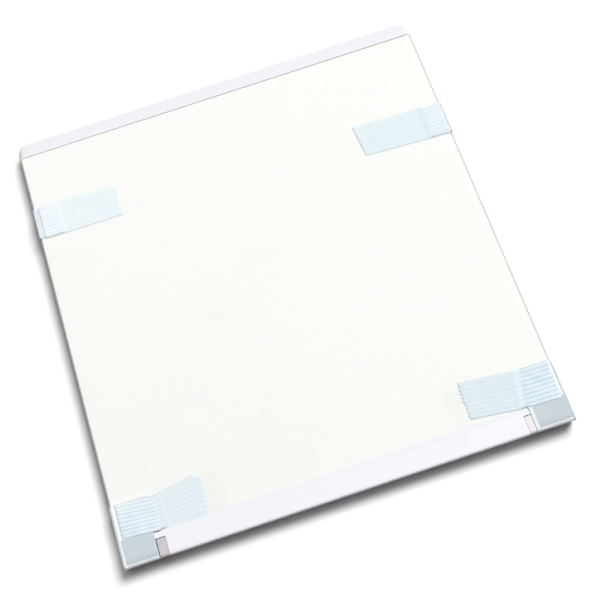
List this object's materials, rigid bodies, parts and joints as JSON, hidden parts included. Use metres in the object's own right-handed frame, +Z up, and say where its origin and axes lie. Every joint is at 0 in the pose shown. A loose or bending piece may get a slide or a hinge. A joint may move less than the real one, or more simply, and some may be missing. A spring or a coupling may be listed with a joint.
{
  "type": "negative carrier",
  "caption": "Thin hinged glass carrier for sheet film: an etched upper pane with a white rail opens over a clear lower pane; taped frosted leaves and clips hold its corners.",
  "frame": {"origin": "middle of the footprint, on the surface that the carrier rests on", "axes": "+Y from the hinged front edge to the rear rail, +X to the right, +Z up through the panes"},
  "size_m": [0.15, 0.1668, 0.0077],
  "materials": {
    "etched_glass": "finely etched, faintly cream, with ground edges",
    "clear_glass": "polished float glass",
    "white_plastic": "satin white with a faint cool cast",
    "grey_plastic": "satin cool grey",
    "tinted_plastic": "smooth translucent, faintly pink",
    "frosted_plastic": "frosted",
    "steel": "turned",
    "filament_tape": "ribbed by lengthwise filaments, translucent light blue",
    "adhesive": "translucent"
  },
  "bodies": {
    "base": {"lower_glass": "clear_glass", "front_crossbar": "white_plastic", "rear_rail": "white_plastic", "lower_glass_front_bond": "adhesive", "lower_glass_rear_bond": "adhesive", "left_hinge_ear": "tinted_plastic", "right_hinge_ear": "tinted_plastic", "left_hinge_pin": "steel", "right_hinge_pin": "steel", "ear_screws": "steel"},
    "upper_leaf": {"upper_glass": "etched_glass", "hinge_rail": "white_plastic", "hinge_rail_bond": "adhesive", "left_hinge_barrel": "grey_plastic", "right_hinge_barrel": "grey_plastic", "left_hinge_leaf": "frosted_plastic", "right_hinge_leaf": "frosted_plastic", "left_end_cap": "frosted_plastic", "right_end_cap": "frosted_plastic", "left_edge_clip": "frosted_plastic", "right_edge_clip": "frosted_plastic", "front_left_tape": "filament_tape", "front_right_tape": "filament_tape", "rear_left_tape": "filament_tape", "rear_right_tape": "filament_tape"}
  },
  "joints": [
    {"name": "leaf_hinge", "type": "hinge", "parent": "base", "child": "upper_leaf", "pos_m": [0, -0.0803, 0.0045], "axis": [1, 0, 0], "range_deg": [0, 110]}
  ]
}
